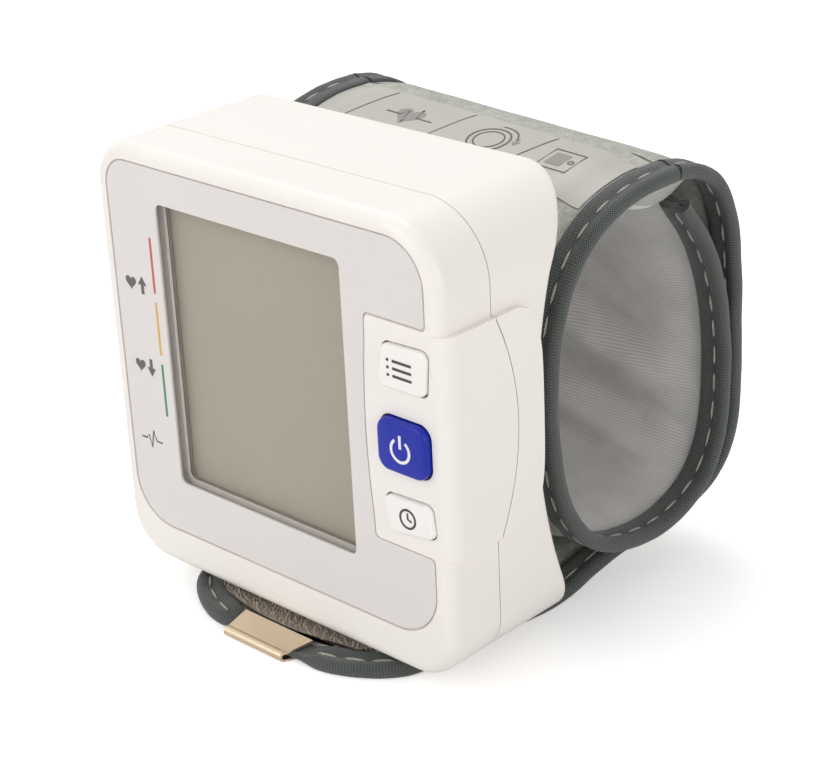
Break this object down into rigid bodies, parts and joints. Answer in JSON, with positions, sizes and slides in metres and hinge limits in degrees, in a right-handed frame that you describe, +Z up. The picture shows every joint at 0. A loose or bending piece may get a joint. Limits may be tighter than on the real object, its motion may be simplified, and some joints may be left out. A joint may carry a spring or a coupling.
{
  "type": "wrist blood pressure monitor",
  "caption": "Small display unit with push buttons on a padded wrist cuff loop; the cuff's fleece flap closes round the back and lies as a tongue with a metal end clip under the unit.",
  "frame": {"origin": "bottom centre of the bounding box, on the surface the monitor stands on", "axes": "+Z up, +X to the right of someone who faces the display, +Y from the display towards the wrist"},
  "size_m": [0.073, 0.0794, 0.0756],
  "materials": {
    "shell_white": "satin moulded plastic, warm white",
    "label_grey": "satin film",
    "window_clear": "clear polished",
    "display_grey": "plain grey display, off",
    "frame_grey": "matt",
    "strip_rubber": "matt",
    "board_green": "satin solder mask",
    "button_white": "satin",
    "button_blue": "glossy",
    "black_plastic": "matt",
    "steel": "plated",
    "cell_jacket": "satin jacket, plain",
    "natural_plastic": "matt",
    "hose_rubber": "matt",
    "plate_grey": "matt",
    "cover_cloth": "grey-green fleece",
    "bladder_rubber": "matt",
    "lining_cloth": "fine ribbed cloth",
    "binding_tape": "woven tape, stitched",
    "printed_film": "slightly glossy film with plain pictograms",
    "hook_cloth": "hook tape, fuzzy",
    "clip_metal": "folded sheet, warm tint"
  },
  "bodies": {
    "monitor": {"front_shell": "shell_white", "rear_shell": "shell_white", "label_film": "label_grey", "lens_window": "window_clear", "lcd_glass": "display_grey", "lcd_frame": "frame_grey", "conductive_strip": "strip_rubber", "circuit_board": "board_green", "mem_switch": "black_plastic", "start_stop_switch": "black_plastic", "set_switch": "black_plastic", "shell_screw_bottom_left": "steel", "shell_screw_bottom_right": "steel", "shell_screw_top_left": "steel", "shell_screw_top_right": "steel", "battery_tray": "black_plastic", "battery_left": "cell_jacket", "battery_right": "cell_jacket", "battery_link_plate": "steel", "battery_plus_tab": "steel", "battery_minus_tab": "steel", "battery_spring_left": "steel", "battery_spring_right": "steel", "pump_motor": "steel", "pump_head": "black_plastic", "air_manifold": "natural_plastic", "pump_hose": "hose_rubber", "valve_hose": "hose_rubber", "release_valve": "steel", "pressure_sensor": "black_plastic", "cuff_nipple": "natural_plastic", "cuff_plate": "plate_grey", "plate_screw_left": "steel", "plate_screw_right": "steel", "cuff_cover": "cover_cloth", "cuff_stiffener": "natural_plastic", "air_bladder": "bladder_rubber", "cuff_lining": "lining_cloth", "band_tape_right": "binding_tape", "band_tape_left": "binding_tape", "print_film": "printed_film"},
    "mem_button": {"mem_button": "button_white"},
    "start_stop_button": {"start_stop_button": "button_blue"},
    "set_button": {"set_button": "button_white"},
    "battery_door": {"battery_door": "shell_white"},
    "flap": {"flap": "cover_cloth", "flap_tape_right": "binding_tape", "flap_tape_left": "binding_tape", "hook_patch": "hook_cloth", "end_clip": "clip_metal"}
  },
  "joints": [
    {"name": "mem_press", "type": "slide", "parent": "monitor", "child": "mem_button", "axis": [0, 1, 0], "range_m": [0, 0.0005], "stiffness_N_per_m": 2000},
    {"name": "start_stop_press", "type": "slide", "parent": "monitor", "child": "start_stop_button", "axis": [0, 1, 0], "range_m": [0, 0.0005], "stiffness_N_per_m": 2000},
    {"name": "set_press", "type": "slide", "parent": "monitor", "child": "set_button", "axis": [0, 1, 0], "range_m": [0, 0.0005], "stiffness_N_per_m": 2000},
    {"name": "battery_door_pull", "type": "slide", "parent": "monitor", "child": "battery_door", "axis": [-1, 0, 0], "range_m": [0, 0.012]},
    {"name": "flap_open", "type": "hinge", "parent": "monitor", "child": "flap", "pos_m": [0, 0.02224, 0.0722], "axis": [1, 0, 0], "range_deg": [0, 90]}
  ]
}
